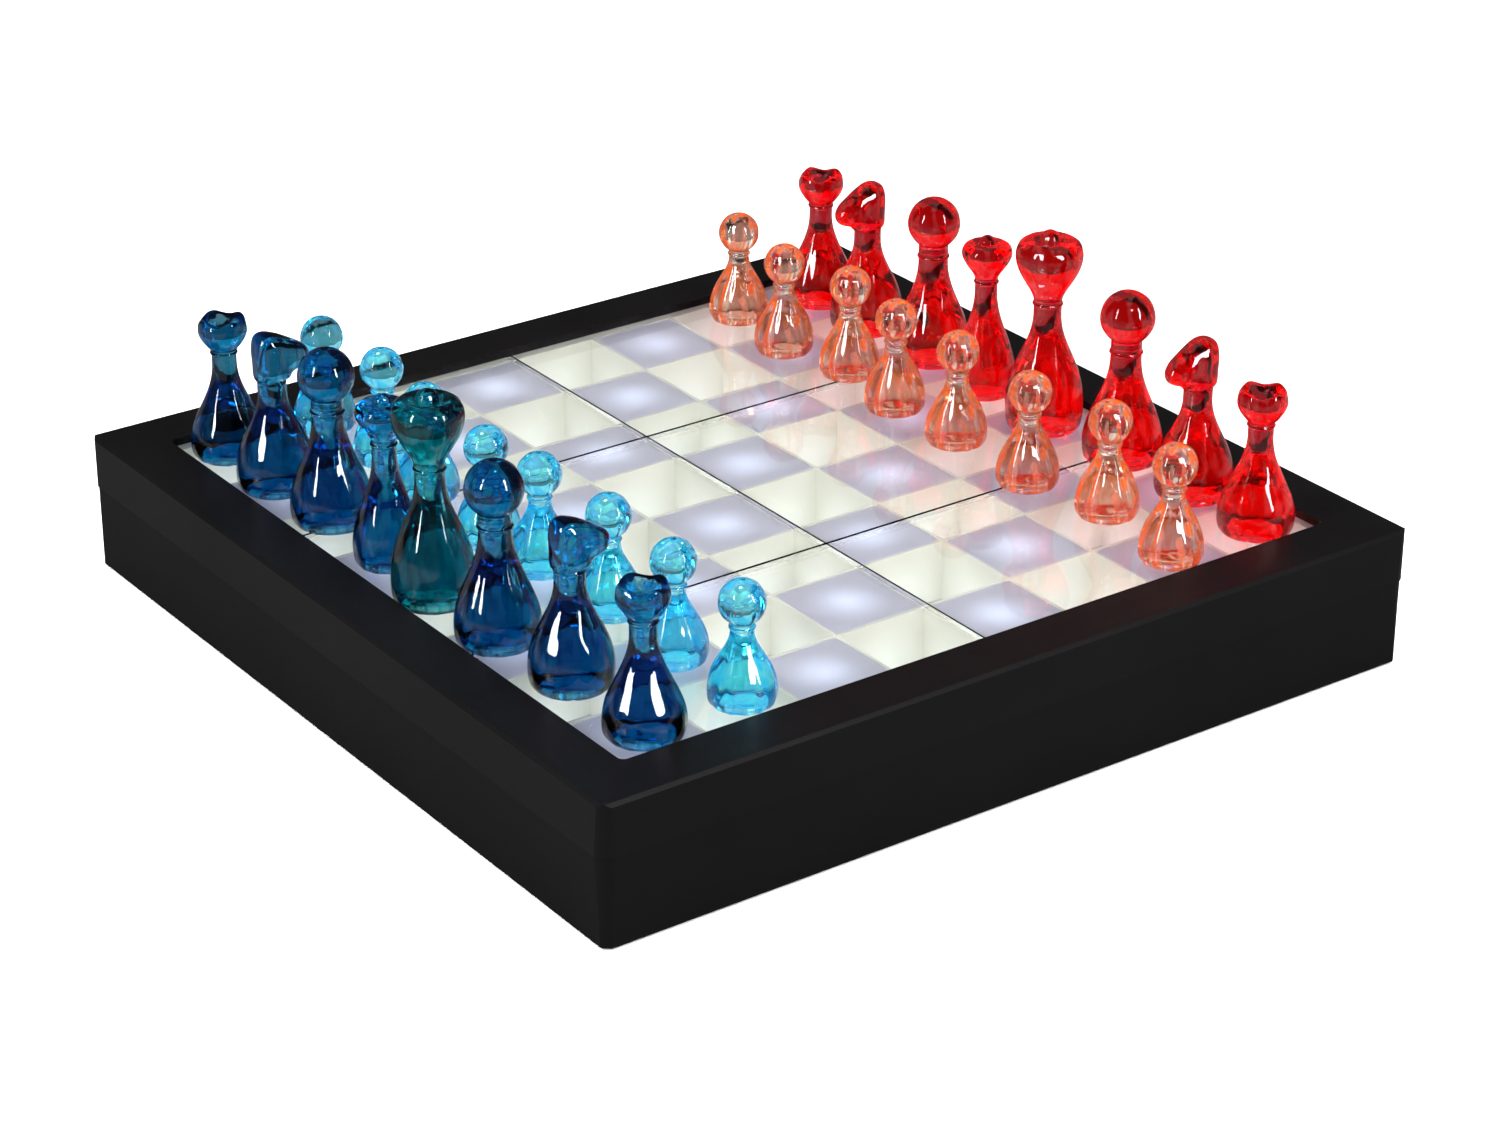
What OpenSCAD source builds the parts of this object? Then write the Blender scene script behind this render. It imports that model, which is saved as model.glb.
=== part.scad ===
// Electronic chess computer: a black housing with a light cell under each of 64 squares, clear plates
// over the cells, and two sets of 16 clear tinted chess pieces standing on the plates.
// Origin at the middle of the underside. Files a to h run along +X, ranks 1 to 8 along +Y.

/* [Housing] */
// Width and depth of the housing
housing_w = 350; // [346:1:370]
// Height of the housing, feet included
housing_h = 54; // [52:1:60]
// Height of the lower shell above the table
split_z = 34; // [32:1:36]
// Wall thickness of both shells
wall = 2.5; // [2:0.1:3]
// Radius of the upright corners
corner_r = 6; // [4:0.5:9]
// How far the feet stand out
foot_out = 1; // [0.8:0.1:2]

/* [Board] */
// Side of one square
square = 38.1; // [37:0.1:38.5]
// Thickness of the clear plates
plate_t = 5; // [3:0.5:6]
// How far the plates lie below the top of the rim
plate_drop = 3.2; // [2:0.1:4]
// Depth of the light cells
cell_deep = 22.95; // [22:0.05:23]
// Wall thickness between two cells
cell_wall = 1.2; // [0.8:0.1:2]
// Gap between two plates along the middle of the board
mid_gap = 0.8; // [0.4:0.1:1.5]
// Gap between two plates along the files
file_gap = 1.2; // [0.4:0.1:2]

/* [Chess pieces] */
// Total height of the king
king_h = 79.5; // [72:0.5:84]
// Total height of the queen
queen_h = 65; // [60:1:70]
// Total height of the bishops
bishop_h = 67.5; // [60:0.5:70]
// Total height of the knights
knight_h = 62; // [58:1:66]
// Total height of the rooks
rook_h = 55.5; // [50:0.5:60]
// Total height of the pawns
pawn_h = 45; // [40:0.5:50]

/* [Battery and controls] */
// Diameter of one battery cell
cell_d = 14.2; // [13.8:0.1:14.5]
// Length of one battery cell
cell_l = 50; // [49:0.5:50.5]
// Travel of the power switch
switch_travel = 3; // [2:0.5:4]
// Travel of the two keys
key_travel = 0.8; // [0.5:0.1:1.2]

/* [Hidden] */
$fn = 64;
BACK_ROW = ["rook", "knight", "bishop", "queen", "king", "bishop", "knight", "rook"];
FILES = "abcdefgh";

// Levels of the stack inside the housing, from the top down
rim_top = housing_h;
plate_top = rim_top - plate_drop;
plate_under = plate_top - plate_t;
board_top = plate_under - cell_deep;
pcb_t = 1.6;
board_under = board_top - pcb_t;
floor_top = foot_out + wall;

// The glass-clear plates lie this far above the grid and below the deck of the upper shell
sit_gap = 0.05;
grid_top = plate_under - sit_gap;

// Mould draft: both shells narrow away from the line where they meet, by this much on each side
upper_draft = 0.35;
lower_draft = 0.58;

board_w = 8 * square;
plate_ledge = 6;
plate_w = board_w + 2 * plate_ledge;
plate_out = plate_w / 2;
file_seam = 1.5 * square;
window_gap = 0.4;
window_r = 2.5;
inside_w = housing_w - 2 * wall;
lower_w = housing_w - 0.6;
tile_t = 0.8;
tile_gap = 0.15;
edge_cut = 1.2;
tiny = 0.01;
shell_gap = 0.05;
post_d = 8;
cell_w = square - cell_wall;

// Shell screws: the four corners, two along the front and back, one on each side
screw_line = housing_w / 2 - 9.5;
screw_side = 83;
SCREWS = [for (sx = [-1, 1], sy = [-1, 1]) [sx * screw_line, sy * screw_line],
          for (sx = [-1, 1], sy = [-1, 1]) [sx * screw_side, sy * screw_line],
          for (sx = [-1, 1]) [sx * screw_line, 0]];
boss_d = 9;
screw_d = 2.9;
screw_bore = 3;
screw_head_d = 5.6;
screw_head_h = 2.2;
head_bore = 6.2;
head_seat = 20;
screw_l = 24;

// Battery box, against the back wall
box_len = 2 * cell_l + 16;
box_depth = 3 * cell_d + 3.6;
box_wall = 2;
box_y = housing_w / 2 - wall - box_wall - box_depth / 2 - 1;
door_t = 2;
door_gap = 0.3;
door_len = box_len + 6;
door_front = box_y - box_depth / 2 - 5;
door_back = lower_w / 2 - lower_draft;
door_lip = 1.6;
lip_t = 0.9;
lip_z = foot_out + door_t - lip_t;
box_top = foot_out + door_t + door_gap + 0.4 + cell_d + 0.6;
cells_z = foot_out + door_t + door_gap + 0.4 + cell_d / 2;
row_pitch = cell_d + 0.8;
door_grip_n = 7;

// Controls on the left side wall, near the back
panel_x = -housing_w / 2;
control_y = -60;
control_z = 18;
switch_y = control_y - 22;
new_key_y = control_y + 4;
level_key_y = control_y + 20;
key_d = 7;
key_bore = 7.3;
slot_h = 3.8;
slider_w = 3;
slider_l = 5;
slide_gap = 0.3;
face_back = 0.1;
control_back = 9;
control_board_x = panel_x + wall + control_back;
key_stem = 4;

// Sounder on the floor, and the sound slots under it
sounder_x = -70;
sounder_y = -90;
sounder_d = 24;
sound_slot_w = 2;
sound_slot_l = 16;

// Chess pieces stand on the plates with this small gap under them
stand_gap = 0.05;
stand_z = plate_top + stand_gap;

// How far each chess piece stands from the middle of its square, as set down by hand: [x, y]
BLUE_BACK = [[-2, -3], [-4, -3], [-5, -1], [-2, -2], [-6, -4], [-4, -3], [-1, 0], [4, 0]];
BLUE_FRONT = [[-3, 1], [-2, 4], [-3, 0], [4, -2], [-4, 1], [0, 2], [4, 0], [4, 1]];
RED_FRONT = [[0, 2], [0, -3], [-4, 4], [-5, -2], [-5, -2], [2, -4], [1, 3], [5, -3]];
RED_BACK = [[4, 2], [0, 0], [2, 2], [2, -2], [2, -3], [5, 1], [6, 2], [4, 0]];

function square_x(file) = (file - 3.5) * square;
function square_y(rank) = (rank - 3.5) * square;
function is_frosted(file, rank) = (file + rank) % 2 == 1;

// A cubic curve from p0 to p3, pulled by p1 and p2, in n steps, without its first point
function curve(p0, p1, p2, p3, n) =
    [for (i = [1:n]) let (t = i / n, s = 1 - t)
        s * s * s * p0 + 3 * s * s * t * p1 + 3 * s * t * t * p2 + t * t * t * p3];

// An arc about c, from angle a0 to a1, in n steps
function arc(c, r, a0, a1, n) =
    [for (i = [0:n]) let (a = a0 + (a1 - a0) * i / n) c + r * [cos(a), sin(a)]];

module at_cells() {
    for (file = [0:7], rank = [0:7])
        translate([square_x(file), square_y(rank), 0])
            children();
}

// A flat bar of square plan with rounded upright corners
module rounded_block(w, d, h, r) {
    linear_extrude(h)
        union() {
            square([w - 2 * r, d], center = true);
            square([w, d - 2 * r], center = true);
            for (sx = [-1, 1], sy = [-1, 1])
                translate([sx * (w / 2 - r), sy * (d / 2 - r)])
                    circle(r);
        }
}

// Upper shell: rim round the board, skirt, and bosses for the screws
module upper_outline() {
    half = housing_w / 2;
    top = half - upper_draft;
    rotate([90, 0, 0])
        linear_extrude(housing_w + 2, center = true)
            polygon([[-half, split_z], [half, split_z], [top, rim_top - edge_cut],
                     [top - edge_cut, rim_top], [edge_cut - top, rim_top], [-top, rim_top - edge_cut]]);
}

module upper_shell() {
    color("#1c1c1f")
        difference() {
            intersection() {
                translate([0, 0, split_z])
                    rounded_block(housing_w, housing_w, rim_top - split_z, corner_r);
                upper_outline();
                rotate([0, 0, 90])
                    upper_outline();
            }
            difference() {
                translate([0, 0, split_z - 1])
                    rounded_block(inside_w, inside_w, plate_top + sit_gap - split_z + 1, corner_r - wall);
                for (p = SCREWS)
                    translate([p.x, p.y, split_z - 2])
                        cylinder(d = boss_d, h = plate_top - split_z + 3);
            }
            translate([0, 0, plate_top - 1])
                rounded_block(board_w + window_gap, board_w + window_gap, plate_drop + 2, window_r);
            for (p = SCREWS)
                translate([p.x, p.y, split_z - 1])
                    cylinder(d = screw_bore, h = screw_l - (split_z - head_seat) + 3);
        }
}

// Battery box walls, open underneath and closed on top
module battery_box() {
    difference() {
        translate([-box_len / 2 - box_wall, box_y - box_depth / 2 - box_wall, foot_out + door_t + door_gap])
            cube([box_len + 2 * box_wall, box_depth + 2 * box_wall, box_top - foot_out - door_t - door_gap
                + box_wall]);
        translate([-box_len / 2, box_y - box_depth / 2, foot_out])
            cube([box_len, box_depth, box_top - foot_out]);
    }
}

// Thicker floor round the sliding door
module door_pad() {
    pad = 5;
    translate([-door_len / 2 - pad, door_front - pad, foot_out])
        cube([door_len + 2 * pad, inside_w / 2 - door_front + pad + 1, door_t + door_gap + wall - 1]);
}

// Way for the sliding door through the floor and out at the back, with an undercut for its lips
module door_way() {
    translate([-door_len / 2 - door_gap, door_front - door_gap, foot_out - 1])
        cube([door_len + 2 * door_gap, housing_w / 2 - door_front + 5, door_t + door_gap + 1]);
    translate([-door_len / 2 - door_lip - door_gap, door_front - door_gap, lip_z - door_gap])
        cube([door_len + 2 * (door_lip + door_gap), housing_w / 2 - door_front + 5, lip_t + 2 * door_gap]);
}

module lower_outline() {
    half = lower_w / 2;
    low = half - lower_draft;
    rotate([90, 0, 0])
        linear_extrude(housing_w + 2, center = true)
            polygon([[-low, foot_out], [low, foot_out], [half, split_z], [-half, split_z]]);
}

// Lower shell: floor, walls, battery box, screw posts and posts under the circuit board
module lower_shell() {
    color("#17171a")
        difference() {
            union() {
                difference() {
                    intersection() {
                        translate([0, 0, foot_out])
                            rounded_block(lower_w, lower_w, split_z - foot_out - shell_gap, corner_r);
                        lower_outline();
                        rotate([0, 0, 90])
                            lower_outline();
                    }
                    translate([0, 0, floor_top])
                        rounded_block(inside_w, inside_w, split_z, corner_r - wall);
                }
                for (p = SCREWS)
                    translate([p.x, p.y, foot_out + 1])
                        cylinder(d = boss_d, h = split_z - shell_gap - foot_out - 1);
                for (px = [-2, 0, 2], py = [-3, -1, 1])
                    translate([px * square * 1.5, py * square, floor_top - 1])
                        cylinder(d = post_d, h = board_under - floor_top + 1);
                for (px = [-2, 2])
                    translate([px * square * 1.5, 3 * square, floor_top - 1])
                        cylinder(d = post_d, h = board_under - floor_top + 1);
                battery_box();
                door_pad();
            }
            translate([-box_len / 2, box_y - box_depth / 2, foot_out - 1])
                cube([box_len, box_depth, box_top - foot_out + 1]);
            door_way();
            for (p = SCREWS) {
                translate([p.x, p.y, foot_out - 1])
                    cylinder(d = head_bore, h = head_seat - foot_out + 1);
                translate([p.x, p.y, foot_out])
                    cylinder(d = screw_bore + 0.4, h = split_z);
            }
            // Openings in the left wall for the power slider and the two keys
            translate([panel_x - 1, switch_y - slider_l / 2 - switch_travel - slide_gap,
                control_z - slot_h / 2])
                cube([wall + 3, slider_l + switch_travel + 2 * slide_gap, slot_h]);
            for (ky = [new_key_y, level_key_y])
                translate([panel_x - 1, ky, control_z])
                    rotate([0, 90, 0])
                        cylinder(d = key_bore, h = wall + 3);
            // Sound slots in the floor under the sounder
            for (i = [-2:2])
                translate([sounder_x + (2 * i - 0.5) * sound_slot_w, sounder_y - sound_slot_l / 2,
                    foot_out - 1])
                    cube([sound_slot_w, sound_slot_l, wall + 2]);
        }
}

// Feet: four discs bonded to the floor
module rubber_feet() {
    foot_d = 14;
    foot_in = housing_w / 2 - 26;
    color("#2b2b2e")
        for (sx = [-1, 1], sy = [-1, 1])
            translate([sx * foot_in, sy * foot_in, 0])
                cylinder(d = foot_d, h = foot_out);
}

module shell_screws() {
    cross = 3;
    color("#9a9ca0")
        for (p = SCREWS)
            translate([p.x, p.y, head_seat - screw_head_h])
                difference() {
                    union() {
                        cylinder(d = screw_head_d, h = screw_head_h);
                        cylinder(d = screw_d, h = screw_head_h + screw_l);
                    }
                    for (turn = [0, 90])
                        rotate([0, 0, turn])
                            translate([-cross / 2, -0.4, -1])
                                cube([cross, 0.8, 2]);
                }
}

// One of the six clear plates, from its left, right, front and back edges
module board_plate(x0, x1, y0, y1) {
    color("#d8dce6", 0.5)
        translate([x0, y0, plate_under])
            cube([x1 - x0, y1 - y0, plate_t]);
}

module front_plate(x0, x1) { board_plate(x0, x1, -plate_out, -mid_gap / 2); }
module back_plate(x0, x1) { board_plate(x0, x1, mid_gap / 2, plate_out); }
module plate_front_left() { front_plate(-plate_out, -file_seam - file_gap / 2); }
module plate_front_middle() { front_plate(-file_seam + file_gap / 2, file_seam - file_gap / 2); }
module plate_front_right() { front_plate(file_seam + file_gap / 2, plate_out); }
module plate_back_left() { back_plate(-plate_out, -file_seam - file_gap / 2); }
module plate_back_middle() { back_plate(-file_seam + file_gap / 2, file_seam - file_gap / 2); }
module plate_back_right() { back_plate(file_seam + file_gap / 2, plate_out); }

// Frosted tiles, one on each light square, bonded under the plates
module frosted_tiles() {
    tile_w = cell_w - 2 * tile_gap;
    color("#b9b7c9")
        for (file = [0:7], rank = [0:7])
            if (is_frosted(file, rank))
                translate([square_x(file), square_y(rank), grid_top - tile_t])
                    rounded_block(tile_w, tile_w, tile_t, 2);
}

// White grid that parts the board into 64 light cells
module light_grid() {
    grid_w = board_w + cell_wall;
    flange_t = 2;
    color("#f2efe0")
        difference() {
            union() {
                translate([-grid_w / 2, -grid_w / 2, board_top])
                    cube([grid_w, grid_w, grid_top - board_top]);
                translate([-plate_out, -plate_out, grid_top - flange_t])
                    cube([plate_w, plate_w, flange_t]);
            }
            at_cells()
                translate([-cell_w / 2, -cell_w / 2, board_top - 1])
                    cube([cell_w, cell_w, cell_deep + 2]);
        }
}

// Main circuit board under the grid
module led_board() {
    pcb_w = board_w + 4;
    color("#1d4d34")
        translate([-pcb_w / 2, -pcb_w / 2, board_under])
            cube([pcb_w, pcb_w, pcb_t]);
}

// One light per cell: a square package with a round lens
module leds() {
    led_w = 5;
    led_h = 1.2;
    lens_d = 3.6;
    lens_h = 0.5;
    color("#eef2ff")
        at_cells()
            translate([0, 0, board_top]) {
                translate([-led_w / 2, -led_w / 2, 0])
                    cube([led_w, led_w, led_h]);
                translate([0, 0, led_h])
                    cylinder(d = lens_d, h = lens_h);
            }
}

// One light sensor per cell, beside its light
module square_sensors() {
    color("#2a2a34")
        at_cells()
            translate([6.5, -1.5, board_top])
                cube([2, 3, 1.1]);
}

// Chips under the circuit board, with two rows of legs
module flat_chip(w, d, h, legs) {
    leg = 0.5;
    translate([-w / 2, -d / 2, -h])
        cube([w, d, h]);
    for (i = [0:legs - 1], side = [-1, 1])
        translate([(i - (legs - 1) / 2) * w / legs - leg / 2, side > 0 ? d / 2 : -d / 2 - 1.2, -0.6])
            cube([leg, 1.2, 0.6]);
}

module processor_chip() {
    color("#26262a")
        translate([0, -2 * square, board_under])
            flat_chip(18, 9, 2.4, 12);
}

module driver_chips() {
    color("#26262a")
        for (i = [-1, 1], j = [-2, 0])
            translate([i * 1.6 * square, j * square, board_under])
                flat_chip(12, 6, 1.8, 8);
}

// Sounder standing on the floor over the sound slots, hollow underneath
module sounder() {
    sounder_h = 7;
    sounder_wall = 2;
    color("#303036")
        translate([sounder_x, sounder_y, floor_top])
            difference() {
                cylinder(d = sounder_d, h = sounder_h);
                translate([0, 0, -1])
                    cylinder(d = sounder_d - 2 * sounder_wall, h = sounder_wall + 1);
            }
}

module battery_cells() {
    nub_d = 5;
    nub_h = 1;
    color("#b08a3c")
        for (row = [-1:1], side = [-1, 1])
            translate([side * (cell_l / 2 + 1.5), box_y + row * row_pitch, cells_z])
                rotate([0, side * (row == 0 ? -90 : 90), 0])
                    union() {
                        translate([0, 0, -cell_l / 2])
                            cylinder(d = cell_d, h = cell_l - nub_h);
                        translate([0, 0, cell_l / 2 - nub_h - tiny])
                            cylinder(d = nub_d, h = nub_h + tiny);
                    }
}

// Contact plates on the end walls of the battery box, with a raised button or a spring of rings
module battery_contacts() {
    contact_w = 11;
    contact_t = 0.5;
    reach = box_len / 2 - (cell_l + 1.5);
    color("#c9ccd1")
        for (row = [-1:1], side = [-1, 1])
            translate([side * box_len / 2, box_y + row * row_pitch, cells_z])
                rotate([0, -side * 90, 0])
                    union() {
                        translate([-contact_w / 2, -contact_w / 2, 0])
                            cube([contact_w, contact_w, contact_t]);
                        for (ring = [0:4])
                            translate([0, 0, contact_t + ring * (reach - contact_t) / 5])
                                difference() {
                                    cylinder(r = 4.4 - ring * 0.4, h = (reach - contact_t) / 5);
                                    translate([0, 0, -1])
                                        cylinder(r = 3 - ring * 0.4, h = 4);
                                }
                    }
}

// Sliding battery door, with side lips that run in the floor and finger ridges at the back
module battery_door() {
    ridge_w = 30;
    color("#18181b")
        difference() {
            union() {
                translate([-door_len / 2, door_front, foot_out])
                    cube([door_len, door_back - door_front, door_t]);
                translate([-door_len / 2 - door_lip, door_front, lip_z])
                    cube([door_len + 2 * door_lip, door_back - wall - door_front, lip_t]);
            }
            for (i = [0:door_grip_n - 1])
                translate([-ridge_w / 2, door_back - 8 - i * 2, foot_out - 1])
                    cube([ridge_w, 1, 1.6]);
        }
}

// Two leads from the battery box up to the circuit board
module battery_leads() {
    lead_d = 1.4;
    lead_x = box_len / 2 + box_wall + 3;
    lead_y = box_y - 22;
    color("#b3312c")
        for (i = [0, 1])
            translate([lead_x + i * 4, lead_y, 0])
                union() {
                    translate([0, 0, 8])
                        cylinder(d = lead_d, h = board_under - 8);
                    translate([-i * 4 - 3, 0, 8])
                        rotate([0, 90, 0])
                            cylinder(d = lead_d, h = 3 + i * 4);
                    translate([0, 0, 8])
                        sphere(d = lead_d);
                }
}

// Small upright board behind the left wall that carries the switch and the keys
module control_board() {
    color("#1d4d34")
        translate([control_board_x, control_y - 34, floor_top])
            cube([pcb_t, 66, 26]);
}

module switch_body() {
    body_out = 5;
    body_l = 12;
    body_h = 6;
    color("#b9bcc2")
        difference() {
            translate([control_board_x - body_out, switch_y - switch_travel / 2 - body_l / 2,
                control_z - body_h / 2])
                cube([body_out, body_l, body_h]);
            translate([control_board_x - body_out - 1, switch_y - switch_travel - slider_l / 2 - slide_gap,
                control_z - slider_w / 2 - slide_gap])
                cube([4, slider_l + switch_travel + 2 * slide_gap, slider_w + 2 * slide_gap]);
        }
}

// Power slider, drawn at the back end of its slot, where it is on
module power_slider() {
    foot_in = control_board_x - 2.5;
    color("#202024")
        difference() {
            translate([panel_x + face_back, switch_y - slider_l / 2, control_z - slider_w / 2])
                cube([foot_in - panel_x - face_back, slider_l, slider_w]);
            for (i = [-1:1])
                translate([panel_x - 1, switch_y + i * 1.4 - 0.3, control_z - slider_w])
                    cube([1 + face_back + 0.5, 0.6, slider_w * 2]);
        }
}

module key_switches() {
    stem_d = 3;
    key_body = 6;
    color("#3a3a40")
        for (ky = [new_key_y, level_key_y])
            translate([control_board_x, ky, control_z])
                union() {
                    translate([-3.5, -key_body / 2, -key_body / 2])
                        cube([3.5, key_body, key_body]);
                    translate([-key_stem, 0, 0])
                        rotate([0, 90, 0])
                            cylinder(d = stem_d, h = 1);
                }
}

// A round key with a wide flange behind the wall and a dished face
module round_key(ky) {
    flange_d = 9.4;
    dish_r = 10;
    dish_in = 0.5;
    foot_x = control_board_x - key_stem - key_travel - 0.1;
    color("#26262a")
        translate([panel_x + face_back, ky, control_z])
            rotate([0, 90, 0])
                difference() {
                    union() {
                        cylinder(d = key_d, h = foot_x - panel_x - face_back);
                        translate([0, 0, wall + slide_gap])
                            cylinder(d = flange_d, h = 1);
                    }
                    translate([0, 0, dish_in - dish_r])
                        sphere(r = dish_r);
                }
}

module new_game_key() { round_key(new_key_y); }
module level_key() { round_key(level_key_y); }

// Chess pieces. Every body is turned from one curve: foot, belly, then a long neck.
// swell and waist are the shares of the rise that keep the belly full and the neck slim.
function body_curve(foot_r, belly_r, belly_z, neck_r, neck_z, swell, waist) = concat(
    [[foot_r, 0]],
    curve([foot_r, 0], [belly_r * 0.96, 0.3], [belly_r, belly_z * 0.5], [belly_r, belly_z], 6),
    curve([belly_r, belly_z], [belly_r, belly_z + swell * (neck_z - belly_z)],
        [neck_r, neck_z - waist * (neck_z - belly_z)], [neck_r, neck_z], 14));

// Turned solid from an outline, with a round recess in the underside
module turned_piece(outline, recess_r, recess_h) {
    top_z = outline[len(outline) - 1].y;
    difference() {
        rotate_extrude()
            polygon(concat([[0, 0]], outline, [[0, top_z]]));
        translate([0, 0, -1])
            cylinder(r = recess_r, h = recess_h + 1);
    }
}

// Small bead where the head meets the neck
function neck_bead(neck_r, z) = [[neck_r, z - 0.7], [neck_r + 0.5, z - 0.35], [neck_r + 0.5, z + 0.35],
    [neck_r, z + 0.7]];

module pawn() {
    ball_r = 8.2;
    neck_r = 4.1;
    ball_z = pawn_h - ball_r;
    start = acos(neck_r / ball_r);
    turned_piece(concat(
        body_curve(10.3, 12, 5, neck_r, ball_z - 10, 0.45, 0.32), neck_bead(neck_r, ball_z - 8.8),
        arc([0, ball_z], ball_r, -start, 90, 24)), 5.5, 2.5);
}

module bishop() {
    ball_r = 10.4;
    neck_r = 5.9;
    ball_z = bishop_h - ball_r;
    start = acos(neck_r / ball_r);
    turned_piece(concat(
        body_curve(13.2, 15.3, 7.6, neck_r, ball_z - 15.6, 0.32, 0.40), neck_bead(neck_r, ball_z - 13.6),
        arc([0, ball_z], ball_r, -start, 90, 28)), 8, 3.5);
}

module rook() {
    neck_r = 4.7;
    cup_z = rook_h - 14;
    rim_r = 7.6;
    notches = 4;
    difference() {
        turned_piece(concat(
            body_curve(12.2, 14.3, 6, neck_r, cup_z - 4.2, 0.32, 0.40), neck_bead(neck_r, cup_z),
            curve([neck_r, cup_z + 1], [6.6, cup_z + 3], [9.7, cup_z + 6.5], [9.2, cup_z + 10], 10),
            curve([9.2, cup_z + 10], [9.1, cup_z + 12.5], [8.6, rook_h], [rim_r, rook_h], 6),
            curve([rim_r, rook_h], [6, rook_h], [5.4, rook_h - 4.2], [0, rook_h - 4.2], 8)), 7, 3);
        // Soft notches across the rim
        for (turn = [0:notches - 1])
            rotate([0, 0, 45 + turn * 360 / notches])
                translate([0, 0, rook_h + 0.6])
                    rotate([0, 90, 0])
                        cylinder(r = 2.2, h = 12);
    }
}

module knight() {
    neck_r = 5.6;
    head_z = knight_h - 18.5;
    head_w = 12.6;
    muzzle_r = 4.8;
    muzzle_y = 11;
    poll_r = 6.8;
    // Side view of the head, as [forward, up]: back of the neck, poll, brow, muzzle, jaw
    side_view = concat(
        [[-5.4, head_z - 2]],
        arc([-3.2, knight_h - 3.2], 3.2, 180, 75, 6),
        curve([-2.4, knight_h - 0.1], [2, knight_h - 1], [8, knight_h - 3.6], [11.8, knight_h - 6], 6),
        arc([11, knight_h - 10.4], 4.4, 62, -62, 8),
        curve([13, knight_h - 14.3], [10, knight_h - 16], [7, knight_h - 17], [5.6, head_z - 2], 5));
    turned_piece(concat(body_curve(12.4, 14.8, 7, neck_r, head_z - 5, 0.42, 0.36),
        [[neck_r, head_z - 1.4], [neck_r - 0.6, head_z - 0.8], [neck_r - 0.6, head_z]]), 7, 3);
    intersection() {
        rotate([90, 0, 90])
            linear_extrude(head_w, center = true)
                polygon(side_view);
        // Plan view: broad at the poll, narrower at the muzzle
        translate([0, 0, head_z - 3])
            linear_extrude(30)
                union() {
                    circle(r = head_w / 2);
                    polygon([[-head_w / 2, 0], [head_w / 2, 0], [muzzle_r, muzzle_y], [-muzzle_r, muzzle_y]]);
                    translate([0, muzzle_y])
                        circle(r = muzzle_r);
                }
        // Front view: a rounded top
        rotate([90, 0, 0])
            linear_extrude(60, center = true)
                union() {
                    translate([-head_w / 2, head_z - 3])
                        square([head_w, 12]);
                    translate([0, knight_h - poll_r])
                        circle(r = poll_r);
                }
    }
}

module queen() {
    neck_r = 4.4;
    nub_r = 3.3;
    cup_z = queen_h - 18.5;
    turned_piece(concat(
        body_curve(10.8, 12.6, 8, neck_r, cup_z - 4, 0.32, 0.40), neck_bead(neck_r, cup_z - 0.4),
        curve([neck_r, cup_z + 0.8], [5.2, cup_z + 4], [9.4, cup_z + 7], [9.9, cup_z + 11.4], 10),
        curve([9.9, cup_z + 11.4], [9.9, cup_z + 13.4], [8.8, cup_z + 14.8], [6.8, cup_z + 15.3], 6),
        curve([6.8, cup_z + 15.3], [5, cup_z + 15.6], [3.8, cup_z + 15.4], [nub_r, cup_z + 15.2], 4),
        arc([0, queen_h - nub_r], nub_r, 0, 90, 10)), 6.5, 3);
}

module king() {
    neck_r = 5.4;
    cup_z = king_h - 29;
    turned_piece(concat(
        body_curve(13.6, 15.1, 9, neck_r, cup_z - 4, 0.45, 0.38), neck_bead(neck_r, cup_z - 0.5),
        curve([neck_r, cup_z + 1], [6.4, cup_z + 6], [12.6, cup_z + 11], [12.95, cup_z + 19], 12),
        curve([12.95, cup_z + 19], [13, cup_z + 22.5], [11.4, cup_z + 24.6], [8.6, cup_z + 25.2], 6),
        curve([8.6, cup_z + 25.2], [6, cup_z + 24.8], [4.2, cup_z + 24], [4, cup_z + 24], 4),
        arc([0, king_h - 4.1], 4.1, -10, 90, 12)), 8, 4);
}

module piece_of(kind) {
    if (kind == "king")
        king();
    if (kind == "queen")
        queen();
    if (kind == "bishop")
        bishop();
    if (kind == "knight")
        knight();
    if (kind == "rook")
        rook();
    if (kind == "pawn")
        pawn();
}

// A piece on its square, turned to face the other side
module standing(kind, file, rank, offset, turn) {
    translate([square_x(file) + offset.x, square_y(rank) + offset.y, stand_z])
        rotate([0, 0, turn])
            piece_of(kind);
}

module blue_back(file) { color("#16306e") standing(BACK_ROW[file], file, 0, BLUE_BACK[file], 0); }
module blue_front(file) { color("#19b4d6") standing("pawn", file, 1, BLUE_FRONT[file], 0); }
module red_front(file) { color("#e07a5a") standing("pawn", file, 6, RED_FRONT[file], 180); }
module red_back(file) { color("#b0101f") standing(BACK_ROW[file], file, 7, RED_BACK[file], 180); }

upper_shell();
lower_shell();
rubber_feet();
shell_screws();
plate_front_left();
plate_front_middle();
plate_front_right();
plate_back_left();
plate_back_middle();
plate_back_right();
frosted_tiles();
light_grid();
led_board();
leds();
square_sensors();
processor_chip();
driver_chips();
sounder();
battery_cells();
battery_contacts();
battery_door();
battery_leads();
control_board();
switch_body();
power_slider();
key_switches();
new_game_key();
level_key();
for (file = [0:7]) {
    blue_back(file);
    blue_front(file);
    red_front(file);
    red_back(file);
}
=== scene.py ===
"""Looks of the electronic chess computer: shells, lit board, clear plates and tinted chess pieces.

The frame holds every part at its real place and size, in metres: files a to h along +X, ranks 1 to 8
along +Y, origin in the middle of the underside. Each operator makes one piece or a group of like pieces.
"""

import math
from typing import NamedTuple

import bpy
from bpy.props import FloatProperty, FloatVectorProperty, IntProperty, PointerProperty
from mathutils import Matrix, Vector


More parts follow.
